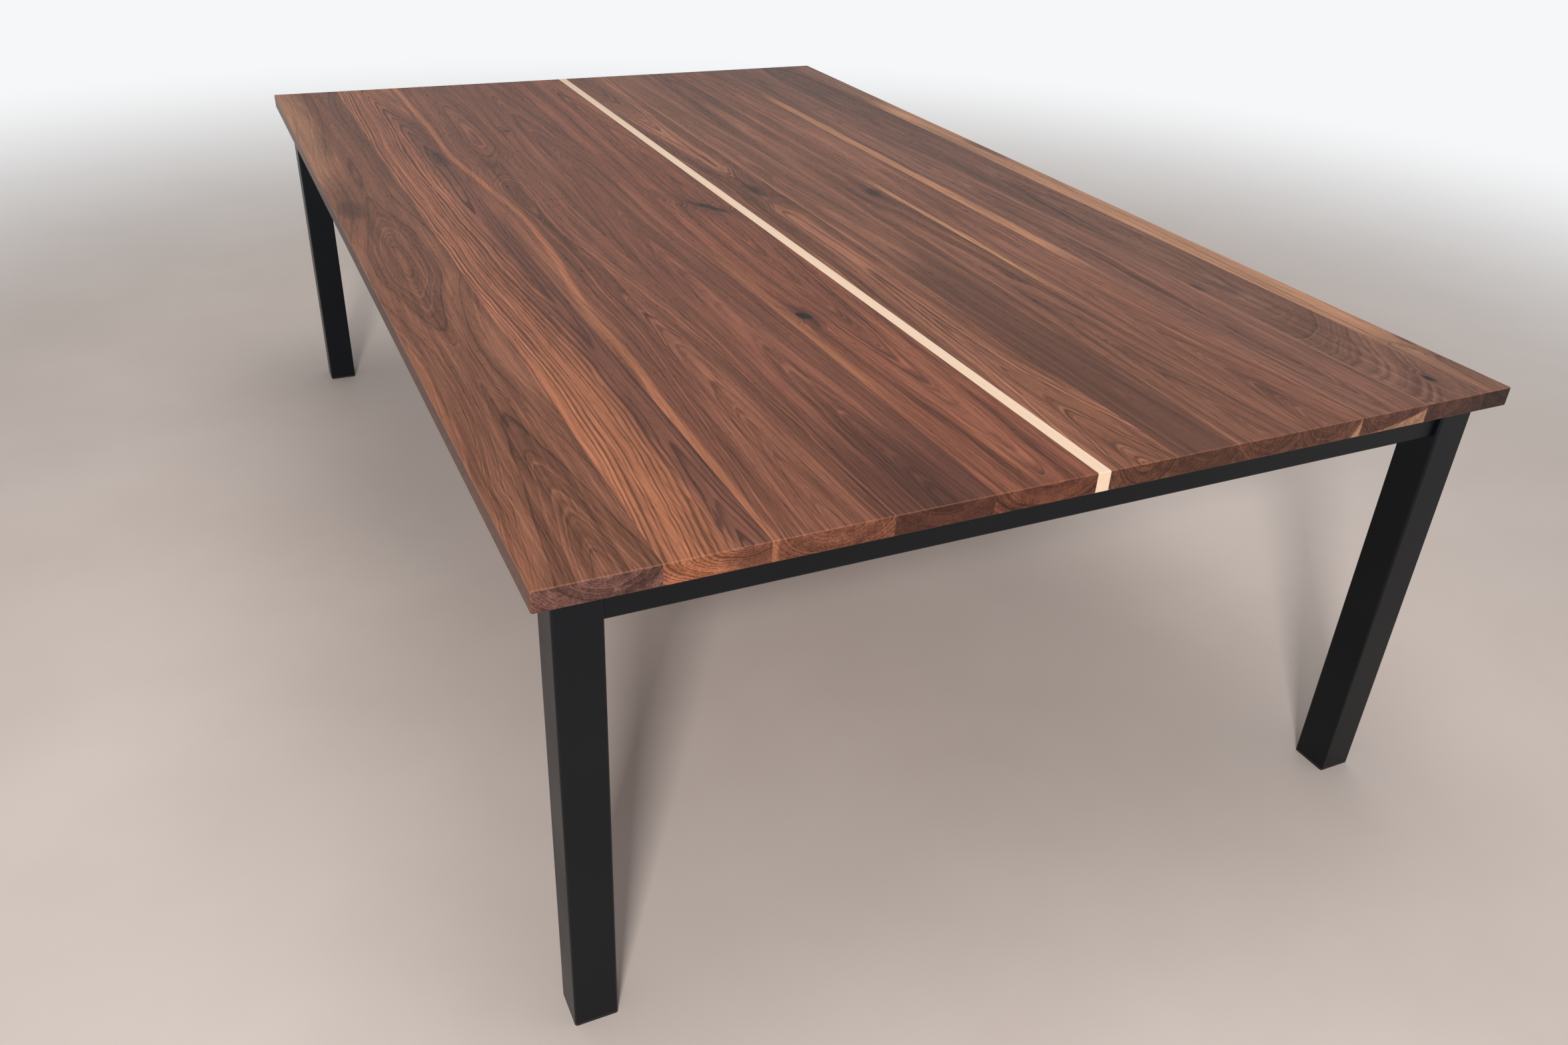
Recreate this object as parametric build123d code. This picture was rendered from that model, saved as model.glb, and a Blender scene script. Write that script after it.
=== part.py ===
from build123d import *
import os

# A plank table: an edge-glued walnut top with a pale maple strip down its middle,
# on a bolted frame of black square tube.
# Millimetres. X runs across the table, Y along its length and Z up.
# The origin is on the floor under the middle of the top. The front end is at -Y, the left side at -X.

# Overall size of the table.
table_width = 1524.0
table_length = 2438.4
table_height = 762.0

# The wooden top. Boards are listed from the strip outwards. Where a side's boards add up to more or less
# than its half of the top, all of them are trimmed or widened alike.
top_thickness = 30.0
edge_easing = 2.0
corner_extra = 1.0
strip_width = 20.6
left_board_widths = (157.0, 143.0, 164.0, 135.0, 152.7)
right_board_widths = (112.0, 98.0, 118.0, 118.0, 130.0, 120.0, 55.7)

# The legs, and how far they stand in from the edges of the top.
leg_size = 63.5
leg_wall = 3.0
leg_corner = 4.0
leg_inset_side = 28.6
leg_inset_end = 28.6

# The plastic plug that closes the foot of each leg.
foot_flange = 4.0
plug_depth = 18.0
plug_wall = 3.0
plug_clearance = 0.3
plug_corner_cut = 1.5

# The rails, one tube section for the ends, the sides and the cross rails.
rail_thickness = 25.4
rail_height = 50.8
rail_wall = 2.1
rail_corner = 3.0
rail_end_gap = 0.6
cross_rail_spacing = 800.0

# The flanges that are welded to the rails at their ends and bolted on.
flange_thickness = 5.0
plate_corner = 3.0

# The plates and tabs that carry the top, with slots that let the wood move across its grain.
seat_thickness = 4.8
slot_length = 16.0
leg_plate_room = 14.0
leg_plate_chamfer = 20.0
tab_width = 40.0
tab_room = 6.0
tabs_per_end_rail = 2
end_rail_tab_distance = 268.0
tabs_per_cross_rail = 4
cross_rail_tab_distance = 130.0

# Frame bolts with their washers and weld nuts.
frame_bolt = 8.0
frame_head_shoulder = 2.5
frame_head_height = 5.3
frame_washer_lip = 1.5
frame_nut_height = 6.5
nut_room = 0.5
bolt_edge_room = 4.0
bolts_per_flange = 2

# Bolts that hold the top, in threaded inserts.
top_bolt = 6.0
top_head_shoulder = 2.0
top_head_height = 4.0
top_washer_lip = 4.0
insert_wall = 2.0
insert_length = 13.0
bolt_tip_room = 3.0
pocket_spare = 1.0
pocket_clearance = 0.1

# Shared by all the bolts.
washer_thickness = 1.6
hole_clearance = 0.6
thread_gap = 0.3

# Widths across flats and of washers, from the bolts they belong to.
frame_head_width = frame_bolt + 2 * frame_head_shoulder
frame_washer_width = frame_head_width + 2 * frame_washer_lip
top_head_width = top_bolt + 2 * top_head_shoulder
top_washer_width = top_head_width + 2 * top_washer_lip
insert_width = top_bolt + 2 * insert_wall

# A flange takes a washer, and keeps the nuts on neighbouring walls of a leg clear of each other.
flange_for_washer = frame_washer_width + 2 * bolt_edge_room
flange_for_nuts = frame_head_width + 2 * (leg_wall + frame_nut_height + nut_room - leg_corner)
bolt_flange = max(flange_for_washer, flange_for_nuts)

# Levels, from the floor up.
top_underside = table_height - top_thickness
frame_top = top_underside - seat_thickness
rail_middle = frame_top - rail_height / 2

# Plan positions, measured from the middle of the table. Bolts seat on the faces of the flanges.
leg_outer_x = table_width / 2 - leg_inset_side
leg_outer_y = table_length / 2 - leg_inset_end
leg_middle_x = leg_outer_x - leg_size / 2
leg_middle_y = leg_outer_y - leg_size / 2
leg_inner_x = leg_outer_x - leg_size
leg_inner_y = leg_outer_y - leg_size
flange_x = leg_inner_x + leg_corner + bolt_flange / 2
flange_y = leg_inner_y + leg_corner + bolt_flange / 2
side_rail_inner_x = flange_x + bolt_flange / 2
end_rail_inner_y = flange_y + bolt_flange / 2
side_rail_x = side_rail_inner_x + rail_thickness / 2
end_rail_y = end_rail_inner_y + rail_thickness / 2
seat_x = leg_inner_x - flange_thickness
seat_y = leg_inner_y - flange_thickness
cross_seat_x = side_rail_inner_x - flange_thickness
cross_rail_y = cross_rail_spacing / 2

corners = {
    "front_left": (-1, -1),
    "front_right": (1, -1),
    "back_left": (-1, 1),
    "back_right": (1, 1),
}
ends = {"front": -1, "back": 1}
sides = {"left": -1, "right": 1}
up = (0, 0, 1)


def spread(count, span):
    """Evenly spaced places about the middle, the first and last of them span apart."""
    if count == 1:
        return [0.0]
    return [span * (i / (count - 1) - 0.5) for i in range(count)]


def rod(width, length, start, direction):
    """A round bar that begins at start and runs along direction."""
    bar = Cylinder(width / 2, length, align=(Align.CENTER, Align.CENTER, Align.MIN))
    return Plane(start, z_dir=direction).location * bar


def tube(plane, width, height, corner, wall, length):
    """A rounded rectangular tube, drawn out both ways from its section on plane."""
    bore_corner = max(corner - wall, corner / 4)
    section = RectangleRounded(width, height, corner)
    section -= RectangleRounded(width - 2 * wall, height - 2 * wall, bore_corner)
    return extrude(plane * section, length / 2, both=True)


def hex_bolt(width, head_width, head_height, length):
    """A bolt whose head bears at the origin and whose shank runs up Z."""
    head = extrude(RegularPolygon(head_width / 2, 6, major_radius=False), -head_height)
    return head + rod(width, length, (0, 0, 0), up)


def washer(width, bolt_width):
    """A washer that lies on the XY plane."""
    ring = Circle(width / 2) - Circle((bolt_width + hole_clearance) / 2)
    return extrude(ring, washer_thickness)


def weld_nut():
    """A nut that is welded to the inside of a tube's wall."""
    section = RegularPolygon(frame_head_width / 2, 6, major_radius=False)
    section -= Circle((frame_bolt + thread_gap) / 2)
    return extrude(section, frame_nut_height)


def group(solids):
    """Identical separate pieces that share one node."""
    return Compound(children=list(solids))


# Frame bolts. Each is a seat on a flange's face and the way that the bolt points.
flange_height = rail_height - 2 * bolt_edge_room
bolt_rows = max(1, min(bolts_per_flange, int(flange_height / frame_washer_width)))
bolt_levels = [rail_middle + rise for rise in spread(bolt_rows, flange_height - frame_washer_width)]
leg_bolts = []
for across, along in corners.values():
    for level in bolt_levels:
        leg_bolts.append(((across * seat_x, along * flange_y, level), (across, 0, 0)))
        leg_bolts.append(((across * flange_x, along * seat_y, level), (0, along, 0)))

cross_bolts = []
for along in ends.values():
    for across in sides.values():
        for offset in spread(2, rail_thickness + bolt_flange):
            seat = (across * cross_seat_x, along * cross_rail_y + offset, rail_middle)
            cross_bolts.append((seat, (across, 0, 0)))


def holes_for(bolts, wall):
    """Clearance holes for frame bolts, through the flange and the wall behind it."""
    reach = flange_thickness + wall
    return [rod(frame_bolt + hole_clearance, reach, seat, way) for seat, way in bolts]


leg_bolt_holes = holes_for(leg_bolts, leg_wall)
cross_bolt_holes = holes_for(cross_bolts, rail_wall)

# Slots for the top bolts, by the piece that has them. Each is the middle of its slot in plan.
tab_reach = top_washer_width + 2 * tab_room
leg_plate_ear = slot_length + 2 * leg_plate_room
bay_middle = (cross_rail_y + end_rail_y) / 2
end_tab_places = spread(tabs_per_end_rail, 2 * (leg_inner_x - end_rail_tab_distance))
cross_tab_places = spread(tabs_per_cross_rail, 2 * (cross_seat_x - cross_rail_tab_distance))
end_slot_y = end_rail_inner_y - tab_reach / 2
cross_slot_y = cross_rail_y - rail_thickness / 2 - tab_reach / 2
side_slot_x = side_rail_inner_x - tab_reach / 2
ear_slot_x = leg_inner_x - leg_plate_ear / 2
ear_slot_y = leg_inner_y - leg_plate_ear / 2
slots = {}
for end, along in ends.items():
    slots[f"{end}_end_rail"] = [(x, along * end_slot_y) for x in end_tab_places]
    slots[f"{end}_cross_rail"] = [(x, along * cross_slot_y) for x in cross_tab_places]
for side, across in sides.items():
    slots[f"{side}_side_rail"] = [(across * side_slot_x, y) for y in (-bay_middle, 0.0, bay_middle)]
for corner, (across, along) in corners.items():
    slots[f"{corner}_leg"] = [(across * ear_slot_x, along * ear_slot_y)]
all_slots = [place for places in slots.values() for place in places]


def slot_cut(place):
    """The slot for a top bolt, long across the boards, through a plate or tab."""
    shape = SlotOverall(slot_length, top_bolt + hole_clearance)
    return Pos(*place, frame_top) * extrude(shape, seat_thickness)


nodes = {}


# The top is one slab with eased edges and pockets for the inserts, sawn along the glue lines.
def make_slab():
    slab = Pos(0, 0, top_underside + top_thickness / 2) * Box(table_width, table_length, top_thickness)
    slab = fillet(slab.edges().filter_by(Axis.Z), edge_easing + corner_extra)
    slab = fillet(slab.faces().filter_by(Axis.Z).edges(), edge_easing)
    pocket_width = insert_width + 2 * pocket_clearance
    pocket_depth = insert_length + pocket_spare
    return slab - [rod(pocket_width, pocket_depth, (*place, top_underside), up) for place in all_slots]


def saw_board(slab, low, high):
    """The piece of the slab between two glue lines."""
    middle = Pos((low + high) / 2, 0, top_underside + top_thickness / 2)
    return slab & middle * Box(high - low, 2 * table_length, 2 * top_thickness)


def glue_lines(widths):
    """Distances of the glue lines from the middle of the top, out to its edge."""
    lines = [strip_width / 2]
    trim = (table_width / 2 - strip_width / 2 - sum(widths)) / len(widths)
    for width in widths:
        lines.append(lines[-1] + width + trim)
    return lines


slab = make_slab()
nodes["maple_strip"] = saw_board(slab, -strip_width / 2, strip_width / 2)
for side, widths in (("left", left_board_widths), ("right", right_board_widths)):
    lines = glue_lines(widths)
    for number, (inner, outer) in enumerate(zip(lines, lines[1:]), start=1):
        low, high = sorted((sides[side] * inner, sides[side] * outer))
        nodes[f"{side}_walnut_board_{number}"] = saw_board(slab, low, high)


# The legs, with their foot plugs and the plates on their upper ends.
def make_leg(across, along):
    length = frame_top - foot_flange
    leg = tube(Plane.XY, leg_size, leg_size, leg_corner, leg_wall, length)
    return Pos(across * leg_middle_x, along * leg_middle_y, foot_flange + length / 2) * leg - leg_bolt_holes


def make_foot_plug(across, along):
    outside = leg_size - 2 * leg_wall - 2 * plug_clearance
    inside = outside - 2 * plug_wall
    ring = chamfer(Rectangle(outside, outside).vertices(), plug_corner_cut)
    ring -= Rectangle(inside, inside)
    plug = extrude(RectangleRounded(leg_size, leg_size, leg_corner), foot_flange)
    plug += Pos(0, 0, foot_flange) * extrude(ring, plug_depth)
    return Pos(across * leg_middle_x, along * leg_middle_y, 0) * plug


def make_leg_plate(corner, across, along):
    reach = leg_size + leg_plate_ear
    cut = reach - leg_plate_chamfer
    outline = Polygon((0, 0), (reach, 0), (reach, cut), (cut, reach), (0, reach))
    plate = extrude(outline, seat_thickness)
    plate = fillet(plate.edges().filter_by(Axis.Z), leg_corner)
    turn = {"front_left": 0, "front_right": 90, "back_right": 180, "back_left": 270}[corner]
    plate = Pos(across * leg_outer_x, along * leg_outer_y, frame_top) * Rot(0, 0, turn) * plate
    return plate - [slot_cut(place) for place in slots[f"{corner}_leg"]]


for corner, (across, along) in corners.items():
    nodes[f"{corner}_leg"] = make_leg(across, along)
    nodes[f"{corner}_foot_plug"] = make_foot_plug(across, along)
    nodes[f"{corner}_leg_plate"] = make_leg_plate(corner, across, along)


# The rails. End and cross rails run along X, side rails along Y. Those between legs stop just short of them.
def rail_tube(plane, length):
    return tube(plane, rail_thickness, rail_height, rail_corner, rail_wall, length)


for end, along in ends.items():
    end_rail = rail_tube(Plane.YZ, 2 * (leg_inner_x - rail_end_gap))
    nodes[f"{end}_end_rail"] = Pos(0, along * end_rail_y, rail_middle) * end_rail
    cross_rail = rail_tube(Plane.YZ, 2 * cross_seat_x)
    nodes[f"{end}_cross_rail"] = Pos(0, along * cross_rail_y, rail_middle) * cross_rail
for side, across in sides.items():
    side_rail = rail_tube(Plane.XZ, 2 * (leg_inner_y - rail_end_gap))
    nodes[f"{side}_side_rail"] = Pos(across * side_rail_x, 0, rail_middle) * side_rail - cross_bolt_holes


# A flange stands beside the end of each end and side rail, on its inner wall.
# A cross rail ends on a flange that reaches out on both sides of it.
def make_flange(plane, width):
    section = RectangleRounded(width, rail_height, plate_corner)
    return extrude(plane * section, flange_thickness / 2, both=True)


half_flange = flange_thickness / 2
cross_flange = rail_thickness + 2 * bolt_flange
for corner, (across, along) in corners.items():
    end, side = corner.split("_")
    place = Pos(across * (seat_x + half_flange), along * flange_y, rail_middle)
    nodes[f"{end}_end_rail_{side}_flange"] = place * make_flange(Plane.YZ, bolt_flange) - leg_bolt_holes
    place = Pos(across * flange_x, along * (seat_y + half_flange), rail_middle)
    nodes[f"{side}_side_rail_{end}_flange"] = place * make_flange(Plane.XZ, bolt_flange) - leg_bolt_holes
    place = Pos(across * (cross_seat_x + half_flange), along * cross_rail_y, rail_middle)
    nodes[f"{end}_cross_rail_{side}_flange"] = place * make_flange(Plane.YZ, cross_flange) - cross_bolt_holes


# Tabs lie on a rail and reach inwards from it.
def make_tab(place, inward_x, inward_y):
    depth = rail_thickness + tab_reach
    size = (depth, tab_width) if inward_x else (tab_width, depth)
    back = (depth - tab_reach) / 2
    tab = extrude(RectangleRounded(*size, plate_corner), seat_thickness)
    tab = Pos(place[0] - inward_x * back, place[1] - inward_y * back, frame_top) * tab
    return tab - slot_cut(place)


for end, along in ends.items():
    for rail in (f"{end}_end_rail", f"{end}_cross_rail"):
        nodes[f"{rail}_tabs"] = group(make_tab(place, 0, -along) for place in slots[rail])
for side, across in sides.items():
    rail = f"{side}_side_rail"
    nodes[f"{rail}_tabs"] = group(make_tab(place, -across, 0) for place in slots[rail])


# Frame fasteners, seated on their flanges.
def add_frame_fasteners(name, bolts, wall):
    length = washer_thickness + flange_thickness + wall + frame_nut_height
    bolt = hex_bolt(frame_bolt, frame_head_width, frame_head_height, length)
    ring = washer(frame_washer_width, frame_bolt)
    nut = weld_nut()
    seats = [Plane(seat, x_dir=up, z_dir=way).location for seat, way in bolts]
    under_head = Pos(0, 0, -washer_thickness)
    behind_wall = Pos(0, 0, flange_thickness + wall)
    nodes[f"{name}_bolts"] = group(seat * under_head * bolt for seat in seats)
    nodes[f"{name}_washers"] = group(seat * under_head * ring for seat in seats)
    nodes[f"{name}_nuts"] = group(seat * behind_wall * nut for seat in seats)


add_frame_fasteners("leg_frame", leg_bolts, leg_wall)
add_frame_fasteners("cross_rail", cross_bolts, rail_wall)


# Top fasteners, from below through the slots into the inserts.
def make_insert():
    section = Circle(insert_width / 2) - Circle((top_bolt + thread_gap) / 2)
    return extrude(section, insert_length)


head_level = frame_top - washer_thickness
top_bolt_length = washer_thickness + seat_thickness + insert_length - bolt_tip_room
hold_down_bolt = hex_bolt(top_bolt, top_head_width, top_head_height, top_bolt_length)
hold_down_washer = washer(top_washer_width, top_bolt)
threaded_insert = make_insert()
nodes["top_bolts"] = group(Pos(*place, head_level) * hold_down_bolt for place in all_slots)
nodes["top_washers"] = group(Pos(*place, head_level) * hold_down_washer for place in all_slots)
nodes["threaded_inserts"] = group(Pos(*place, top_underside) * threaded_insert for place in all_slots)

os.makedirs("parts", exist_ok=True)
for name, shape in nodes.items():
    export_step(shape, f"parts/{name}.step")
print(len(nodes), "nodes")
print("rail set back from the legs' faces", round(leg_outer_y - end_rail_y - rail_thickness / 2, 2))
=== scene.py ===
# %% [markdown]
# # A walnut plank table, dressed in Blender
# The table has a top of wide walnut boards, glued edge to edge with one pale maple strip down the
# middle, on a bolted frame of black square tube. Every piece comes from the CAD model, so this
# lesson is about finishes: each board gets its own grain, and the metal its coat of powder paint.

# %% Load the packed model
from math import radians
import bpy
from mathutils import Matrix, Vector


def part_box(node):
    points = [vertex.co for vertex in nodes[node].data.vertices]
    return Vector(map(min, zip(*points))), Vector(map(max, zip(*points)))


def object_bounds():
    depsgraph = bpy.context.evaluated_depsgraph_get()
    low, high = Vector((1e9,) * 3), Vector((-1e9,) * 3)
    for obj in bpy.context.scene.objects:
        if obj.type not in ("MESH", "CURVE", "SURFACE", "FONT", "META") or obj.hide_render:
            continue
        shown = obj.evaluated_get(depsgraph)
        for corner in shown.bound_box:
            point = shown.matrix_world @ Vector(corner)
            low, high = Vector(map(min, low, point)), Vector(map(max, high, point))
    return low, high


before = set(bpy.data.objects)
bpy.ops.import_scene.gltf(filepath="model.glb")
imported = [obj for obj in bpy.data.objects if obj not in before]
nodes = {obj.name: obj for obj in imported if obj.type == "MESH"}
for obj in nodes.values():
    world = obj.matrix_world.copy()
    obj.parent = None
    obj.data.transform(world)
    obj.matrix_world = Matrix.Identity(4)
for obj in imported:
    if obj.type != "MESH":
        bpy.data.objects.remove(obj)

from types import SimpleNamespace

import bmesh
import bpy
from mathutils import Matrix, Vector

cad_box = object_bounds()
print(len(nodes), "CAD nodes, box from", list(cad_box[0]), "to", list(cad_box[1]))

# %% [markdown]
# ## The camera
# The photograph looks down at one short end of the table, from about head height, with a wide lens.
# The place, the turns and the focal length were found by matching the corners of the top, the legs
# and the feet. Turning about Z, then tilting about X, then rolling about Z again is the order in
# which a photographer aims a camera on a tripod, so the three angles are kept apart here.

# %% Aim the camera
camera_place = Vector((-1.0206, -2.3331, 1.5291))
heading, tilt, roll = radians(-25.590), radians(59.112), radians(2.403)
film_width_mm = 36.0
focal_length_mm = 28.98
sideways_shift = 0.013

camera_data = bpy.data.cameras.new("camera")
camera_data.sensor_fit = "HORIZONTAL"
camera_data.sensor_width = film_width_mm
camera_data.lens = focal_length_mm
camera_data.shift_x = sideways_shift
camera = bpy.data.objects.new("camera", camera_data)
aim = Matrix.Rotation(heading, 4, "Z") @ Matrix.Rotation(tilt, 4, "X") @ Matrix.Rotation(roll, 4, "Z")
camera.matrix_world = Matrix.Translation(camera_place) @ aim
bpy.context.scene.collection.objects.link(camera)
bpy.context.scene.camera = camera
print("camera at", list(camera_place), "with a lens of", camera_data.lens, "mm")

# %% [markdown]
# ## Colours
# A paint chart gives a colour as three numbers from 0 to 255, on a scale that suits the eye. A shader
# counts light instead, so each number is bent back first. Typing the light itself would do as well,
# but chart numbers are easier to compare with what the eye sees on the table.

# %% From a paint chart to light
def srgb(red, green, blue):
    """A colour as a paint chart gives it, 0 to 255, turned into the linear light of the shader."""
    linear = [((part / 255.0 + 0.055) / 1.055) ** 2.4 for part in (red, green, blue)]
    return (*linear, 1.0)


print("a grey of 128 on the chart is", round(srgb(128, 128, 128)[0], 3), "in light")

# %% [markdown]
# ## A bench for node graphs
# A Blender material is a graph of nodes, and so is the light of the surroundings. Adding each node
# and link by hand takes many lines, so this small class does it: every method adds what it says and
# hands back the output, ready for the next step.

# %% The bench
# A Mix node has sockets for every kind of data. These are its two colours and the result.
colour_under, colour_over, colour_mixed = 6, 7, 2


class Bench:
    """A node graph under way. Each method adds nodes and returns the last one or its output."""

    def __init__(self, tree):
        self.tree = tree

    def feed(self, socket, value):
        """Link an output to a socket, or set a plain value on it."""
        if isinstance(value, bpy.types.NodeSocket):
            self.tree.links.new(value, socket)
        elif value is not None:
            socket.default_value = value

    def node(self, kind, *values, **settings):
        """A node of that kind, with its settings and its first inputs."""
        made = self.tree.nodes.new(kind)
        for setting, value in settings.items():
            setattr(made, setting, value)
        for socket, value in zip(made.inputs, values):
            self.feed(socket, value)
        return made

    def math(self, operation, *values):
        """One sum, named as Blender names it."""
        return self.node("ShaderNodeMath", *values, operation=operation).outputs[0]

    def total(self, first, *others):
        """Several values added up."""
        for value in others:
            first = self.math("ADD", first, value)
        return first

    def times(self, first, *others):
        """Several values multiplied."""
        for value in others:
            first = self.math("MULTIPLY", first, value)
        return first

    def fade(self, value, start, end):
        """0 up to start and 1 from end on, with a soft step between."""
        return self.node("ShaderNodeMapRange", value, start, end, 0.0, 1.0,
                         interpolation_type="SMOOTHSTEP").outputs[0]

    def mix(self, share, under, over):
        """The over colour laid on the under colour."""
        made = self.node("ShaderNodeMix", share, data_type="RGBA")
        self.feed(made.inputs[colour_under], under)
        self.feed(made.inputs[colour_over], over)
        return made.outputs[colour_mixed]

    def ramp(self, value, *stops):
        """A colour ramp through (position, colour) stops."""
        made = self.node("ShaderNodeValToRGB", value)
        elements = made.color_ramp.elements
        elements[0].position, elements[0].color = stops[0]
        elements[1].position, elements[1].color = stops[-1]
        for position, colour in stops[1:-1]:
            elements.new(position).color = colour
        return made.outputs[0]


print("the bench has", len([name for name in vars(Bench) if name[0] != "_"]), "methods")

# %% [markdown]
# ## Finishes
# A finish is a bench with a material on it. Its patterns read Object coordinates, which for these
# pieces are metres in the table's own frame, so a pattern has its true size and runs on round every
# edge. UV maps could carry the patterns too, but would need a seam somewhere on each piece.

# %% The finish class
usual_noise = (0.25, 0.75)
paint_noise = (0.3, 0.7)
seed_step = (7.3, 3.1, 5.7)


class Finish(Bench):
    """A material under way."""

    def __init__(self, name):
        self.material = bpy.data.materials.new(name)
        self.material.use_nodes = True
        super().__init__(self.material.node_tree)
        self.shader = self.tree.nodes["Principled BSDF"]
        self.place = self.node("ShaderNodeTexCoord").outputs["Object"]

    def noise(self, lumps, seed, detail=2.0, roughness=0.5, place=None):
        """Cloudy noise with so many lumps to the metre along X, Y and Z."""
        offset = tuple(step * seed for step in seed_step)
        moved = self.node("ShaderNodeMapping", place or self.place, offset, (0.0, 0.0, 0.0), lumps)
        return self.node("ShaderNodeTexNoise", moved.outputs[0], 0.0, 1.0, detail, roughness).outputs[0]

    def spread(self, noise, low, high):
        """A noise stretched to run from low to high."""
        return self.node("ShaderNodeMapRange", noise, *usual_noise, low, high).outputs[0]

    def swing(self, noise, reach):
        """A noise stretched to run as far below zero as above it."""
        return self.spread(noise, -reach, reach)

    def two_tone(self, noise, dark, light):
        """A noise turned into a colour between two paints."""
        return self.ramp(noise, (paint_noise[0], srgb(*dark)), (paint_noise[1], srgb(*light)))

    def bump(self, height, strength, depth):
        """A fine relief on the surface."""
        relief = self.node("ShaderNodeBump", strength, depth)
        self.feed(relief.inputs["Height"], height)
        self.feed(self.shader.inputs["Normal"], relief.outputs[0])

    def set(self, **sockets):
        """Plain values or outputs on the shader's sockets, such as Base_Color or Roughness."""
        for socket, value in sockets.items():
            self.feed(self.shader.inputs[socket.replace("_", " ")], value)


print("a finish adds", len([name for name in vars(Finish) if name[0] != "_"]), "methods to the bench")

# %% [markdown]
# ## Putting a finish on
# A CAD node keeps its mesh as it is and only changes the material in its slot. The two small helpers
# give a pattern its grain: even in all directions, or drawn out along the table as wood is.

# %% Dress the nodes
def dress(node_names, finish):
    """Give CAD nodes one finish."""
    for node_name in node_names:
        mesh = nodes[node_name].data
        mesh.materials.clear()
        mesh.materials.append(finish.material)
    print(finish.material.name, "on", len(node_names), "nodes")


def even(lumps):
    """As many lumps to the metre in every direction."""
    return (lumps, lumps, lumps)


def long_grain(across, lengthways):
    """Lumps to the metre across the boards and along them."""
    return (across, lengthways, across)


print("even lumps", even(5.0), "and long ones", long_grain(75.0, 0.9))

# %% [markdown]
# ## Black powder coat
# The frame is square and rectangular tube with a satin black powder coat. Powder melts and levels in
# an oven, which leaves a faint orange-peel relief and a sheen that is not quite even. A near-black
# base with a fairly smooth surface gives that: the colour hardly counts, and what is seen is the soft
# reflection. A little dust in broad patches keeps the long tubes from looking like plain plastic.

# %% Coat the frame
cool_sheen = (0.8, 0.91, 1.0, 1.0)


def powder_coat():
    coat = Finish("black_powder_coat")
    peel = coat.noise(even(420.0), seed=1, detail=1.0)
    patches = coat.noise(even(5.0), seed=2, detail=4.0)
    coat.set(Base_Color=coat.two_tone(patches, (6, 7, 10), (11, 12, 16)),
             Roughness=coat.spread(patches, 0.34, 0.46),
             Specular_IOR_Level=0.25,
             Specular_Tint=cool_sheen)
    coat.bump(peel, strength=0.12, depth=0.0004)
    return coat


steel_nodes = [name for name in nodes if name.endswith(("_leg", "_rail", "_flange", "_tabs", "_plate"))]
dress(steel_nodes, powder_coat())

# %% [markdown]
# ## Foot plugs
# The plugs under the legs are moulded black plastic. The mould is spark-eroded, which leaves a fine
# even grain, so one noise gives the colour, the sheen and the relief together.

# %% Mould the foot plugs
def moulded_plastic():
    plastic = Finish("moulded_plastic")
    grain = plastic.noise(even(900.0), seed=3, detail=3.0)
    plastic.set(Base_Color=plastic.two_tone(grain, (22, 22, 23), (34, 34, 35)),
                Roughness=plastic.spread(grain, 0.5, 0.68))
    plastic.bump(grain, strength=0.25, depth=0.0003)
    return plastic


dress([name for name in nodes if name.endswith("_plug")], moulded_plastic())

# %% [markdown]
# ## Fasteners
# The bolts, washers and nuts are bright zinc plate, which is a little blue and cloudy. Fine scratches
# run up the shanks, so the second noise is drawn out along Z.

# %% Plate the fasteners
def zinc_plate():
    zinc = Finish("zinc_plate")
    cloud = zinc.noise(even(160.0), seed=4, detail=3.0)
    scratches = zinc.noise((1500.0, 1500.0, 90.0), seed=5)
    zinc.set(Base_Color=zinc.two_tone(cloud, (176, 180, 186), (205, 207, 208)),
             Metallic=1.0,
             Roughness=zinc.spread(zinc.times(cloud, scratches), 0.24, 0.42))
    zinc.bump(scratches, strength=0.08, depth=0.0002)
    return zinc


dress([name for name in nodes if name.endswith(("_bolts", "_washers", "_nuts"))], zinc_plate())

# %% [markdown]
# ## Threaded inserts
# The inserts in the boards are turned brass. A lathe leaves faint marks round the axis, so this noise
# changes quickly along Z and hardly round the insert.

# %% Turn the inserts
def turned_brass():
    brass = Finish("turned_brass")
    marks = brass.noise((60.0, 60.0, 2200.0), seed=6)
    brass.set(Base_Color=brass.two_tone(marks, (186, 148, 82), (222, 186, 112)),
              Metallic=1.0,
              Roughness=brass.spread(marks, 0.26, 0.4))
    brass.bump(marks, strength=0.1, depth=0.0002)
    return brass


dress(["threaded_inserts"], turned_brass())

# %% [markdown]
# ## Maple
# The strip in the middle is hard maple: cream, close-grained and almost without pattern. Long faint
# streaks follow its length, and flecks a few millimetres long show where the saw crossed the rays.
# Two drawn-out noises are enough for that, with most of the colour from the streaks.

# %% Finish the strip
streak_share = 0.75


def maple():
    wood = Finish("oiled_maple")
    streaks = wood.noise(long_grain(160.0, 1.2), seed=7, detail=4.0, roughness=0.6)
    flecks = wood.noise(long_grain(900.0, 120.0), seed=8, detail=1.0)
    tone = wood.total(wood.times(streaks, streak_share), wood.times(flecks, 1.0 - streak_share))
    cream = wood.ramp(tone, (paint_noise[0], srgb(237, 203, 172)), (0.5, srgb(243, 211, 182)),
                      (paint_noise[1], srgb(246, 216, 190)))
    wood.set(Base_Color=cream,
             Roughness=wood.spread(flecks, 0.42, 0.52),
             Specular_IOR_Level=0.35)
    wood.bump(flecks, strength=0.06, depth=0.0003)
    return wood


dress(["maple_strip"], maple())

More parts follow.
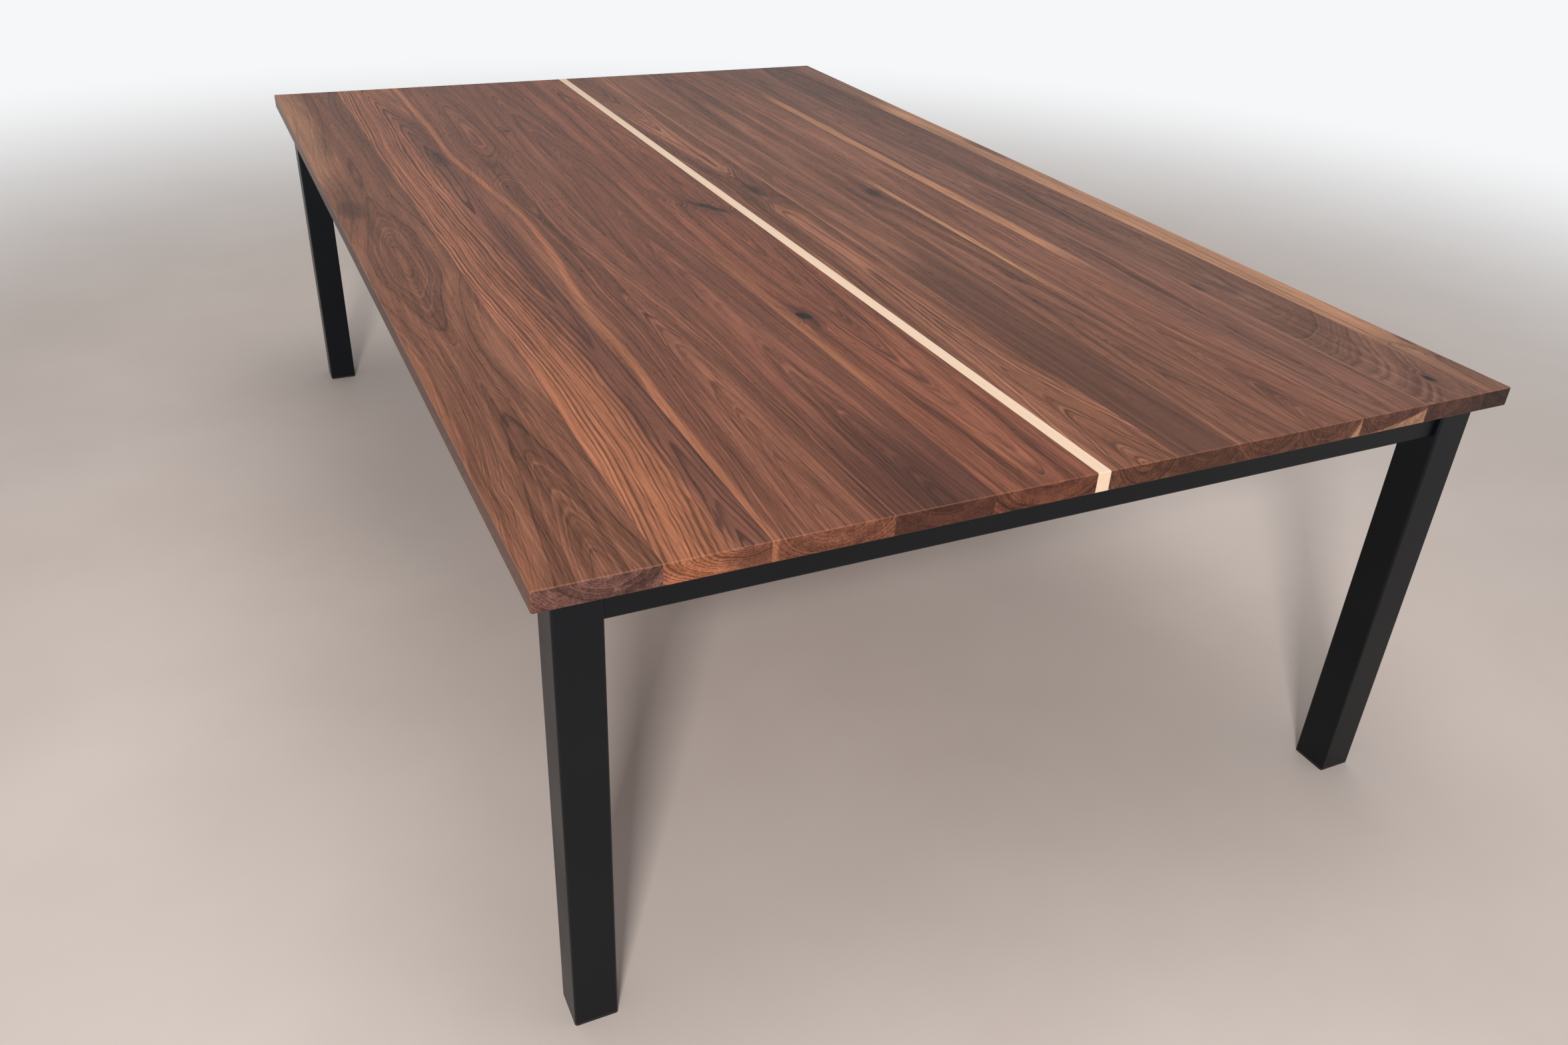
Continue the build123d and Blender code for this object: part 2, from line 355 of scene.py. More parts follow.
# %% [markdown]
# ## How a board gets its grain
# A board is a slice out of a trunk. The trunk's yearly rings are nested cylinders, and the slice
# shows them as arcs on its end and as long lines or pointed arches on its face. A picture of grain
# would not meet itself round the edges, so the wood here is a solid: each point asks how far it lies
# from the trunk's middle, and takes its tone from the ring it falls in. The trunk leans and swells
# along its length, which two curves give for each board: where the middle runs across the
# table, and how much the rings lift. Where the lift rises the arches point away, where it falls they
# point back, and a hollow in it makes a closed oval. Lengths of the grain are in millimetres.

# %% A value that changes along a board
mm_per_metre = 1000.0
half_length = mm_per_metre * cad_box[1][1]
curve_span = 400.0


def along(wood, y, points):
    """A value in mm that changes along the table, through (place, value) points."""
    share = wood.node("ShaderNodeMapRange", y, -half_length, half_length, 0.0, 1.0).outputs[0]
    made = wood.node("ShaderNodeFloatCurve", 1.0, share)
    drawn = made.mapping.curves[0].points
    while len(drawn) < len(points):
        drawn.new(0.5, 0.5)
    for point, (place, value) in zip(drawn, points):
        point.location = ((place + half_length) / (2.0 * half_length), 0.5 + value / curve_span)
    made.mapping.update()
    return wood.math("MULTIPLY_ADD", made.outputs[0], curve_span, -0.5 * curve_span)


print("the trunk's curves reach", curve_span / 2.0, "mm either way over", 2.0 * half_length, "mm")

# %% [markdown]
# ## Where a point lies in the wood
# Grain is never quite straight. A slow noise makes it sway and a quicker one makes it ripple, and the
# bent place that they give is what the rings and the fibres read. Streaks and knots keep calmer: they
# follow most of the ripple but not the sway, because their places were read off the photograph.

# %% Bend the grain
calm_share = 0.8
ragged_reach = 7.0


def grain_place(wood, board, seed):
    """Where a point lies in its board, in mm, and how the grain bends there."""
    in_mm = wood.node("ShaderNodeVectorMath", wood.place, operation="SCALE")
    in_mm.inputs["Scale"].default_value = mm_per_metre
    x, y, z = wood.node("ShaderNodeSeparateXYZ", in_mm.outputs[0]).outputs
    sway = wood.swing(wood.noise(long_grain(3.6, 1.0), seed, detail=1.0), board["sway"])
    ripple = wood.swing(wood.noise(long_grain(22.0, 5.0), seed + 0.4), board["ripple"])
    shiver = wood.noise(long_grain(60.0, 8.0), seed + 0.2, detail=3.0)
    bent = wood.total(x, sway, ripple)
    calm = wood.math("MULTIPLY_ADD", ripple, calm_share, x)
    ragged = wood.total(calm, wood.swing(shiver, ragged_reach))
    in_metres = [wood.times(part, 1.0 / mm_per_metre) for part in (bent, y, z)]
    fibre_line = wood.node("ShaderNodeCombineXYZ", *in_metres).outputs[0]
    return SimpleNamespace(bent=bent, calm=calm, ragged=ragged, y=y, z=z, shiver=shiver,
                           fibre_line=fibre_line)


print("a knot's edge is ragged by", ragged_reach, "mm")

# %% [markdown]
# ## The distance from the trunk's middle
# The middle runs a little above the face, by the board's depth. Some sawn ends show arcs that lie
# flatter than circles would, so a board may squeeze its rings below the face. That leaves the lines on
# the face as they are.

# %% Measure from the trunk's middle
top_height = mm_per_metre * cad_box[1][2]


def radius(wood, aside, below):
    """The distance from a line along the table that lies so far aside and so far below."""
    return wood.math("SQRT", wood.math("MULTIPLY_ADD", aside, aside, wood.times(below, below)))


def ring_distance(wood, board, point):
    """How far a point lies from the trunk's middle, with the lift of the rings there."""
    middle = along(wood, point.y, [(place, x - board["centre"]) for place, x in board["middle"]])
    aside = wood.math("SUBTRACT", wood.math("SUBTRACT", point.bent, board["centre"]), middle)
    below = wood.math("MULTIPLY_ADD", point.z, -board["squeeze"],
                      board["depth"] + board["squeeze"] * top_height)
    return wood.total(radius(wood, aside, below), along(wood, point.y, board["lift"]))


print("the face of the top lies at", round(top_height, 1), "mm")

# %% [markdown]
# ## Knots
# A branch leaves a knot: a dark spot that the rings flow round. A knot could be modelled as a small
# trunk of its own, but a lighter way is enough here. It adds a little to the ring distance in a wide
# swirl about its middle, so the lines bend past it, and it darkens the wood in the swirl and more so
# in the knot itself.

# %% Grow the knots
swirl_size = (3.0, 3.4)
swirl_dark = 0.25


def spot(wood, x, y, place, size, slant):
    """1 in the middle of an oval spot, which may lean, and 0 from its edge on."""
    ahead = wood.math("SUBTRACT", y, place[1])
    upright = wood.math("MULTIPLY_ADD", ahead, -slant, x)
    across = wood.math("DIVIDE", wood.math("SUBTRACT", upright, place[0]), size[0])
    lengthways = wood.math("DIVIDE", ahead, size[1])
    squares = wood.math("MULTIPLY_ADD", across, across, wood.times(lengthways, lengthways))
    return wood.fade(squares, 1.0, 0.0)


def grow_knots(wood, board, point, distance):
    """The ring distance bent round a board's knots, and how dark they make the wood."""
    darkness = 0.0
    for place, size, slant, push, dark in board["knots"]:
        wide = (swirl_size[0] * size[0], swirl_size[1] * size[1])
        swirl = spot(wood, point.calm, point.y, place, wide, slant)
        knot = spot(wood, point.ragged, point.y, place, size, slant)
        distance = wood.math("MULTIPLY_ADD", swirl, push, distance)
        darkness = wood.total(darkness, wood.times(swirl, swirl_dark * dark), wood.times(knot, dark))
    return distance, darkness


print("a knot's swirl is", swirl_size[0], "times as wide and", swirl_size[1], "times as long as the knot")

# %% [markdown]
# ## Rings of uneven width
# Good years give wide rings and dry years narrow ones. A noise that runs along the count of the rings
# is the same all round each ring, so it can widen some rings, and later darken some, without breaking
# the lines.

# %% Count the rings
line_gap = 10.0
line_roughness = 0.6


def line_noise(wood, rings, per_ring, seed, detail):
    """Noise that is the same all along a ring, so it draws lines that follow the grain."""
    spot_on_ring = wood.math("MULTIPLY_ADD", rings, per_ring, line_gap * seed)
    return wood.node("ShaderNodeTexNoise", None, spot_on_ring, 1.0, detail, line_roughness,
                     noise_dimensions="1D").outputs[0]


def count_rings(wood, board, point, distance, seed):
    """How many rings a point lies from the trunk's middle."""
    even_rings = wood.math("DIVIDE", distance, board["spacing"])
    rings = wood.math("MULTIPLY_ADD", point.shiver, board["shiver"], even_rings)
    widths = line_noise(wood, rings, per_ring=0.45, seed=seed + 0.25, detail=1.0)
    return wood.total(rings, wood.swing(widths, board["uneven"]))


print("two line noises with seeds one apart start", line_gap, "lumps apart")

# %% [markdown]
# ## The tone of walnut
# Each ring of walnut darkens slowly towards its end and then starts again pale, so the tone follows a
# sawtooth over the rings, with finer lines between and broad spells of darker and lighter years. Veins
# and fibres run along the bent grain, and short dark pores with them.

# %% Tone of the grain
darkest, next_spring = 0.85, 0.88
dash_strength = (0.45, 1.25)
middle_tone = 0.58
fibre_reach = 0.34
pore_edge = (0.6, 0.72)
pore_dark = 0.18


def ring_lines(wood, board, rings, seed):
    """The dark late wood of each ring, stronger in some years and broken into dashes."""
    year = wood.math("FRACT", rings)
    late = wood.times(wood.fade(year, board["late"], darkest), wood.fade(year, 1.0, next_spring))
    dashes = wood.spread(wood.noise(long_grain(150.0, 9.0), seed + 0.6), *dash_strength)
    years = line_noise(wood, rings, per_ring=0.7, seed=seed, detail=0.0)
    return wood.times(late, wood.times(dashes, wood.spread(years, board["faintest"], 1.0)))


def grain_tone(wood, board, point, rings, seed):
    """How dark or light the wood is, about 0.5, and its pores and fibres."""
    line = point.fibre_line
    spells = line_noise(wood, rings, per_ring=0.16, seed=seed + 0.5, detail=1.0)
    hair = line_noise(wood, rings, per_ring=1.7, seed=seed + 0.8, detail=3.0)
    clouds = wood.noise(long_grain(8.0, 1.7), seed + 0.7, detail=4.0)
    veins = wood.noise(long_grain(75.0, 0.9), seed + 0.1, detail=4.0, roughness=0.6, place=line)
    fibres = wood.noise(long_grain(330.0, 6.0), seed + 0.9, detail=3.0, roughness=0.65, place=line)
    dots = wood.noise(long_grain(700.0, 45.0), seed + 0.3, detail=1.0, place=line)
    pores = wood.fade(dots, *pore_edge)
    tone = wood.total(wood.times(ring_lines(wood, board, rings, seed), -board["lines"]),
                      wood.spread(spells, middle_tone - board["spells"], middle_tone + board["spells"]),
                      wood.swing(hair, board["hair"]),
                      wood.swing(clouds, board["clouds"]),
                      wood.swing(veins, board["veins"]),
                      wood.swing(fibres, fibre_reach),
                      wood.times(pores, -pore_dark))
    return tone, pores, fibres


print("a ring is darkest at", darkest, "of its width, and pores darken the tone by", pore_dark)

# %% [markdown]
# ## From tone to colour
# Oiled walnut is chocolate brown with purple and orange in it. A board's tint stands at the middle
# tone, with a darker and a lighter shade of it at the ends of a ramp. The dark shade is a little
# warmer than the light one, which one brightness control would not give.

# %% Shades of a tint
def shade(tint, light, warmth=0.0):
    """A tint made darker or lighter, and warmer where the red grows faster than the blue."""
    red, green, blue, alpha = srgb(*tint)
    return (red * light * (1.0 + warmth), green * light, blue * light * (1.0 - warmth), alpha)


def toned(wood, tone, tint, dark, light, ends=(0.0, 1.0)):
    """A tint at the middle tone, with its dark and light shades at the ends."""
    return wood.ramp(tone, (ends[0], shade(tint, *dark)), (0.5, srgb(*tint)),
                     (ends[1], shade(tint, *light)))


print("half as light, (120, 70, 50) is", [round(part, 3) for part in shade((120, 70, 50), 0.5)[:3]])

# %% [markdown]
# ## Streaks
# A streak is a band along the board with another tint, pale or dark, whose soft edges tremble with the
# grain. It may wander along a curve of its own. It takes the tone of the wood under it, so the lines
# run on through it.

# %% Lay the streaks
streak_fade = 120.0


def band(wood, x, y, sides, reach, soft):
    """1 between two sides of a band and over its reach along the board, with soft edges."""
    left = wood.fade(x, sides[0] - soft, sides[0] + soft)
    right = wood.fade(x, sides[1] + soft, sides[1] - soft)
    start = wood.fade(y, reach[0] - streak_fade, reach[0] + streak_fade)
    stop = wood.fade(y, reach[1] + streak_fade, reach[1] - streak_fade)
    return wood.times(wood.times(left, right), wood.times(start, stop))


def lay_streaks(wood, board, point, tone, colour):
    """A board's colour with its streaks on it."""
    for sides, reach, soft, tint, share, *wander in board["streaks"]:
        wavy = wood.total(point.calm, wood.swing(point.shiver, 0.5 * soft))
        if wander:
            wavy = wood.math("SUBTRACT", wavy, along(wood, point.y, wander[0]))
        cover = wood.times(band(wood, wavy, point.y, sides, reach, soft), share)
        streak = toned(wood, tone, tint, dark=(0.55,), light=(1.5,))
        colour = wood.mix(cover, colour, streak)
    return colour


print("a streak fades out over", 2.0 * streak_fade, "mm at each end")

# %% [markdown]
# ## The dark of a knot
# Round a knot the wood is a deep shade of its own tint, feathered by the fibres. Where the knot itself
# is darkest the wood is almost black.

# %% Darken the knots
knot_feather = (0.6, 1.0)
knot_heart = (1.0, 1.5)
heart_tint = (24, 17, 16)


def darken_knots(wood, board, darkness, fibres, colour):
    """A board's colour with its knots on it."""
    feathered = wood.times(darkness, wood.spread(fibres, *knot_feather))
    colour = wood.mix(feathered, colour, shade(board["tint"], light=0.2, warmth=-0.1))
    return wood.mix(wood.fade(darkness, *knot_heart), colour, srgb(*heart_tint))


print("a knot turns almost black from a darkness of", knot_heart[0], "on")

# %% [markdown]
# ## Sawn ends, sides and edges
# The sawn ends drink more oil and take a tint of their own. Two of them show pale sapwood, the young
# wood outside a circle near the bark, which here never comes up to the face. The planed sides of the
# top get a painted shade, darker and greyer, and the thin edge between face and side gets a pale
# painted highlight. The surface normal tells which is which, so no part of the mesh has to be marked.

# %% Finish the ends, sides and edges
faces_along = (0.6, 0.95)
sapwood_soft = 2.0
sapwood_under = (1.0, 4.0)
sapwood_tints = ((122, 84, 64), (190, 144, 112))
# painted shade: the planed sides of the top are darkened towards grey
painted_side_shade_tint, painted_side_shade_share = (66, 51, 51), 0.65
# painted highlight: a pale line along the edge between face and side
painted_highlight_tint, painted_highlight_share = (190, 140, 112), 0.16
edge_starts, edge_ends = (0.2, 0.5), (0.99, 0.9)


def lay_sapwood(wood, board, point, tone, colour):
    """A board's colour with the pale sapwood outside its circle, below the face."""
    bark_x, bark_rise, bark_radius = board["sapwood"]
    aside = wood.math("SUBTRACT", point.calm, bark_x)
    below = wood.math("SUBTRACT", top_height + bark_rise, point.z)
    outside = wood.fade(radius(wood, aside, below), bark_radius - sapwood_soft, bark_radius + sapwood_soft)
    lower = wood.fade(point.z, top_height - sapwood_under[0], top_height - sapwood_under[1])
    dark, light = sapwood_tints
    return wood.mix(wood.times(outside, lower), colour,
                    wood.ramp(tone, (0.0, srgb(*dark)), (1.0, srgb(*light))))


def finish_edges(wood, board, point, tone, colour):
    """A board's colour: its face and sawn ends, with painted shade on the planed sides and a painted
    highlight on the edges.
    """
    normal = wood.node("ShaderNodeNewGeometry").outputs["Normal"]
    across, lengthways, upwards = wood.node("ShaderNodeSeparateXYZ", normal).outputs
    sawn_end = wood.fade(wood.math("ABSOLUTE", lengthways), *faces_along)
    oiled = toned(wood, tone, board["end_tint"], dark=(0.4,), light=(2.4,), ends=(0.1, 0.9))
    colour = wood.mix(wood.times(sawn_end, board["end_oil"]), colour, oiled)
    if board["sapwood"]:
        colour = lay_sapwood(wood, board, point, tone, colour)
    # painted shade laid on the faces that look along X, the planed sides of the top
    painted_side_shade_mask = wood.fade(wood.math("ABSOLUTE", across), *faces_along)
    colour = wood.mix(wood.times(painted_side_shade_mask, painted_side_shade_share), colour, srgb(*painted_side_shade_tint))
    # painted highlight on the narrow band where the normal turns from up to sideways
    painted_highlight = wood.times(wood.fade(upwards, *edge_starts), wood.fade(upwards, *edge_ends))
    return wood.mix(wood.times(painted_highlight, painted_highlight_share), colour, srgb(*painted_highlight_tint))


# prints the share of painted shade on the sides and of painted highlight on the edge
print("the sides take", painted_side_shade_share, "of their own tint, and the worn edge", painted_highlight_share)

# %% [markdown]
# ## Walnut
# Now the layers go on in order: the rings with their knots, the tone, the colour, and what lies on
# top. The oil leaves a satin sheen that is duller in the pores, and the pores are a fine relief too.

# %% Walnut from a board's description
dull_pores = 0.2
fibre_relief = 0.5


def walnut(board_name, board, seed):
    wood = Finish(board_name)
    point = grain_place(wood, board, seed)
    distance, darkness = grow_knots(wood, board, point, ring_distance(wood, board, point))
    rings = count_rings(wood, board, point, distance, seed)
    tone, pores, fibres = grain_tone(wood, board, point, rings, seed)
    colour = toned(wood, tone, board["tint"], dark=(0.32, 0.14), light=(2.0, -0.06))
    colour = lay_streaks(wood, board, point, tone, colour)
    if board["knots"]:
        colour = darken_knots(wood, board, darkness, fibres, colour)
    wood.set(Base_Color=finish_edges(wood, board, point, tone, colour),
             Roughness=wood.math("MULTIPLY_ADD", pores, dull_pores, wood.spread(fibres, 0.39, 0.49)),
             Specular_IOR_Level=0.22)
    relief = wood.math("SUBTRACT", wood.times(fibres, fibre_relief), pores)
    wood.bump(relief, strength=0.1, depth=0.0003)
    return wood


print("pores are rougher than the wood round them by", dull_pores)

# %% [markdown]
# ## A plain board
# Each board is described as a sawyer would: where the trunk's middle runs, how far above the face it
# lies, how wide the rings are and how strongly they show, the tint of the wood, and its streaks and
# knots. All of that was read off the photograph, board by board. A plain board has the values
# that most of them share. Places are in millimetres, X across the table and Y along it.

# %% Describe a plain board
near, far = -half_length, half_length
plain = {
    "sway": 12.0,  # mm that the grain bends aside in long waves
    "ripple": 3.0,  # mm that it bends aside in short ones
    "shiver": 0.9,  # how far the lines tremble, in rings
    "depth": 24.0,  # mm from the face up to the trunk's middle
    "squeeze": 1.0,  # how flat the rings lie below the face, 1 for round ones
    "spacing": 4.0,  # mm from ring to ring
    "uneven": 0.7,  # how far the rings differ in width
    "lines": 0.34,  # how dark the rings' lines are
    "late": 0.1,  # where in a ring its dark part starts
    "faintest": 0.2,  # strength of the weakest lines
    "spells": 0.17,  # darker and lighter runs of years
    "hair": 0.24,  # fine lines between the rings
    "veins": 0.28,  # long soft stripes along the grain
    "clouds": 0.14,  # broad patches
    "end_oil": 0.5,  # how much of its own tint the sawn end takes
    "end_tint": (52, 28, 20),
    "sapwood": None,  # place across, rise above the face and radius of the circle it lies outside of
    "streaks": [],  # sides, reach along the table, softness, tint and share, and how it may wander
    "knots": [],  # place, size, slant, push on the rings and darkness
}
print("a plain board has", len(plain), "values")

# %% [markdown]
# ## The boards left of the strip
# Five boards, from the outer one inwards. The outer one shows ovals, the second fine dark stripes on
# orange wood, and the third a thin pale streak that wanders along its edge.

# %% Describe the left boards
left_boards = {
    "left_walnut_board_5": {
        "middle": [(near, -668), (-900, -674), (-300, -692), (300, -684), (far, -655)],
        "lift": [(near, 8), (-960, 42), (-800, 58), (-600, 68), (-500, 62), (-413, 50), (-293, 31),
                 (-200, 15), (0, 20), (150, 38), (260, 48), (700, 64), (1050, 82), (far, 70)],
        "depth": 14.0, "squeeze": 1.7, "spacing": 6.4, "lines": 0.44, "spells": 0.21,
        "tint": (115, 71, 51), "end_oil": 0.68, "end_tint": (80, 56, 55),
        "streaks": [((-780, -712), (380, 1300), 22, (160, 111, 82), 0.86),
                    ((-780, -746), (-1300, -500), 10, (146, 92, 66), 0.55),
                    ((-633, -600), (-760, -440), 5, (146, 94, 70), 0.8)],
        "knots": [((-730, 185), (40, 78), 0.0, 12, 0.6)],
    },
    "left_walnut_board_4": {
        "middle": [(near, -508), (-700, -500), (0, -506), (550, -500), (900, -520), (far, -545)],
        "lift": [(near, 14), (-900, 34), (-300, 24), (100, 18), (540, 4), (800, 30), (far, 70)],
        "depth": 9.0, "squeeze": 2.4, "spacing": 7.4, "lines": 1.05, "late": 0.4, "uneven": 0.35,
        "shiver": 0.4, "sway": 6.0, "spells": 0.13, "hair": 0.16, "veins": 0.2, "faintest": 0.35,
        "tint": (146, 90, 65), "end_oil": 0.1,
        "streaks": [((-520, -460), (-1300, 900), 18, (98, 58, 46), 0.78),
                    ((-615, -530), (-1400, -640), 24, (170, 104, 68), 0.42),
                    ((-640, -609), (-1400, -1000), 5, (104, 66, 52), 0.7)],
        "knots": [((-516, -1148), (6, 36), 0.12, 4, 0.8), ((-492, 505), (22, 90), 0.0, 10, 0.8)],
    },
    "left_walnut_board_3": {
        "middle": [(near, -384), (-780, -371), (-400, -372), (0, -384), (350, -392), (800, -380),
                   (far, -386)],
        "lift": [(near, 0), (-800, 20), (-450, 42), (0, 54), (260, 46), (380, 62), (560, 54), (far, 88)],
        "depth": 20.0, "squeeze": 1.8, "spacing": 4.4, "lines": 0.42,
        "tint": (117, 70, 51), "end_oil": 0.12,
        "streaks": [((-490, -446), (-620, 240), 10, (142, 90, 66), 0.6),
                    ((-470, -457), (-1400, 1400), 3.5, (164, 103, 72), 0.85,
                     [(near, -9), (-900, -3), (-600, 6), (-500, 3), (-360, 13), (-200, 28), (0, 35),
                      (270, 18), (430, 4), (510, -2), (700, 5), (far, 2)])],
        "knots": [((-398, 430), (22, 56), 0.0, 12, 0.3)],
    },
    "left_walnut_board_2": {
        "middle": [(near, -236), (-400, -240), (300, -228), (far, -236)],
        "lift": [(near, 0), (-600, 24), (0, 48), (600, 66), (far, 96)],
        "depth": 30.0, "squeeze": 1.5, "lines": 0.28, "tint": (113, 66, 48),
        "streaks": [((-330, -150), (-1400, -1000), 20, (84, 47, 35), 0.8)],
        "knots": [((-289, 701), (9, 20), 0.0, 8, 0.8)],
    },
    "left_walnut_board_1": {
        "middle": [(near, -84), (-500, -72), (0, -66), (500, -48), (far, -60)],
        "lift": [(near, 82), (-900, 62), (-480, 36), (-100, 24), (400, 34), (far, 70)],
        "depth": 22.0, "squeeze": 1.8, "spacing": 4.4, "lines": 0.4, "tint": (119, 68, 48),
        "streaks": [((-170, -147), (-890, -250), 6, (158, 99, 68), 0.75),
                    ((-104, -92), (-1170, -1070), 6, (158, 99, 66), 0.55)],
        "knots": [((-132, -601), (13, 20), -0.25, 12, 1.8), ((-62, -5), (14, 64), -0.55, 10, 1.0)],
    },
}
print(len(left_boards), "boards left of the strip")

# %% [markdown]
# ## The boards right of the strip
# Seven boards, from the strip outwards. The first has strong arches, the fourth and fifth show sapwood
# on the sawn end and a pale streak on the face, and the outer one is pale along most of its length.

# %% Describe the right boards
right_boards = {
    "right_walnut_board_1": {
        "middle": [(near, 68), (-900, 68), (-300, 72), (100, 84), (600, 58), (far, 52)],
        "lift": [(near, -16), (-930, 26), (-500, 40), (0, 46), (300, 50), (620, 40), (950, 16), (far, -4)],
        "depth": 13.0, "spacing": 6.2, "lines": 0.7, "spells": 0.2,
        "tint": (130, 81, 59), "end_oil": 0.62,
        "streaks": [((38, 96), (-1400, -1010), 16, (150, 94, 66), 0.3)],
        "knots": [((82, 73), (24, 60), -0.1, 14, 0.85)],
    },
    "right_walnut_board_2": {
        "middle": [(near, 176), (0, 160), (far, 150)],
        "lift": [(near, 0), (0, 18), (far, 40)],
        "depth": 40.0, "spacing": 3.4, "lines": 0.22, "veins": 0.27, "tint": (121, 76, 56),
        "streaks": [((100, 240), (-1400, -420), 20, (86, 52, 38), 0.8),
                    ((119, 127), (-700, 900), 3, (156, 106, 78), 0.7)],
    },
    "right_walnut_board_3": {
        "middle": [(near, 288), (-600, 282), (0, 270), (far, 280)],
        "lift": [(near, 0), (-700, 24), (0, 42), (far, 70)],
        "depth": 30.0, "spacing": 3.8, "lines": 0.22, "veins": 0.27,
        "tint": (117, 73, 54), "end_oil": 0.62,
        "knots": [((314, -17), (20, 44), 0.1, 10, 0.9), ((303, -555), (5, 18), 0.0, 5, 0.8)],
    },
    "right_walnut_board_4": {
        "middle": [(near, 388), (-600, 392), (0, 410), (far, 396)],
        "lift": [(near, -14), (-880, 26), (-300, 44), (400, 60), (far, 82)],
        "depth": 16.0, "spacing": 5.2, "lines": 0.42, "veins": 0.22,
        "tint": (122, 76, 57), "end_oil": 0.56, "sapwood": (382, 20, 76),
        "streaks": [((325, 350), (-600, 60), 4, (184, 130, 92), 0.95)],
    },
    "right_walnut_board_5": {
        "middle": [(near, 512), (-1100, 517), (-800, 516), (-600, 524), (0, 540), (far, 530)],
        "lift": [(near, 34), (-1000, 18), (-600, 8), (0, 26), (far, 68)],
        "depth": 28.0, "spacing": 7.0, "lines": 0.5, "veins": 0.27,
        "tint": (113, 72, 56), "end_oil": 0.62, "sapwood": (461, 311, 340),
        "streaks": [((440, 480), (-500, 840), 5, (180, 124, 88), 0.95),
                    ((577, 600), (-1400, -780), 4, (146, 100, 78), 0.6)],
    },
    "right_walnut_board_6": {
        "middle": [(near, 588), (-1000, 592), (-820, 640), (0, 640), (far, 652)],
        "lift": [(near, 190), (-1000, 102), (-850, 44), (-700, 30), (0, 34), (far, 76)],
        "depth": 90.0, "spacing": 11.0, "lines": 0.32, "hair": 0.2, "ripple": 5.0, "veins": 0.3,
        "tint": (108, 70, 54), "end_oil": 0.74, "end_tint": (46, 25, 17),
        "streaks": [((616, 662), (-760, -690), 16, (134, 100, 82), 0.5)],
        "knots": [((662, -1151), (5, 17), 0.0, 8, 1.2), ((592, -712), (7, 26), 0.0, 8, 0.7)],
    },
    "right_walnut_board_7": {
        "middle": [(near, 770), (0, 772), (far, 770)],
        "lift": [(near, 0), (-900, 24), (0, 32), (far, 52)],
        "depth": 30.0, "spacing": 4.6, "lines": 0.26,
        "tint": (118, 78, 60), "end_oil": 0.95, "end_tint": (38, 20, 14),
        "streaks": [((680, 790), (-1010, 700), 10, (175, 125, 94), 0.94),
                    ((714, 740), (-1180, -980), 14, (168, 120, 92), 0.6)],
        "knots": [((752, 220), (22, 120), 0.0, 14, 0.6), ((757, -1019), (10, 30), 0.0, 8, 0.6),
                  ((735, -1036), (5, 24), -0.55, 6, 0.6)],
    },
}
print(len(right_boards), "boards right of the strip")

# %% [markdown]
# ## Dressing the boards
# Every board comes from its own tree, or from another part of one, so each gets a finish and a seed of
# its own. The seed only shifts the noises, and the same script always gives the same wood.

# %% Dress the boards
first_seed = 11
for seed, (board_name, board) in enumerate({**left_boards, **right_boards}.items(), start=first_seed):
    low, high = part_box(board_name)
    centre = 0.5 * mm_per_metre * (low.x + high.x)
    dress([board_name], walnut(board_name, {**plain, **board, "centre": centre}, seed))

# %% [markdown]
# ## The floor
# A plain pale floor carries the table and takes its shadow. Far from the table it fades into the
# colour of the backdrop, so no horizon shows. The fade is there for what the eye or a reflection
# sees and adds no light to the table.

# %% Lay the floor
floor_half = 15.0
backdrop = (0.92, 0.93, 0.94, 1.0)
floor_mesh = bpy.data.meshes.new("floor")
sheet = bmesh.new()
bmesh.ops.create_grid(sheet, x_segments=1, y_segments=1, size=floor_half)
sheet.to_mesh(floor_mesh)
sheet.free()
floor = bpy.data.objects.new("floor", floor_mesh)
bpy.context.scene.collection.objects.link(floor)
print("floor of", 2.0 * floor_half, "m")

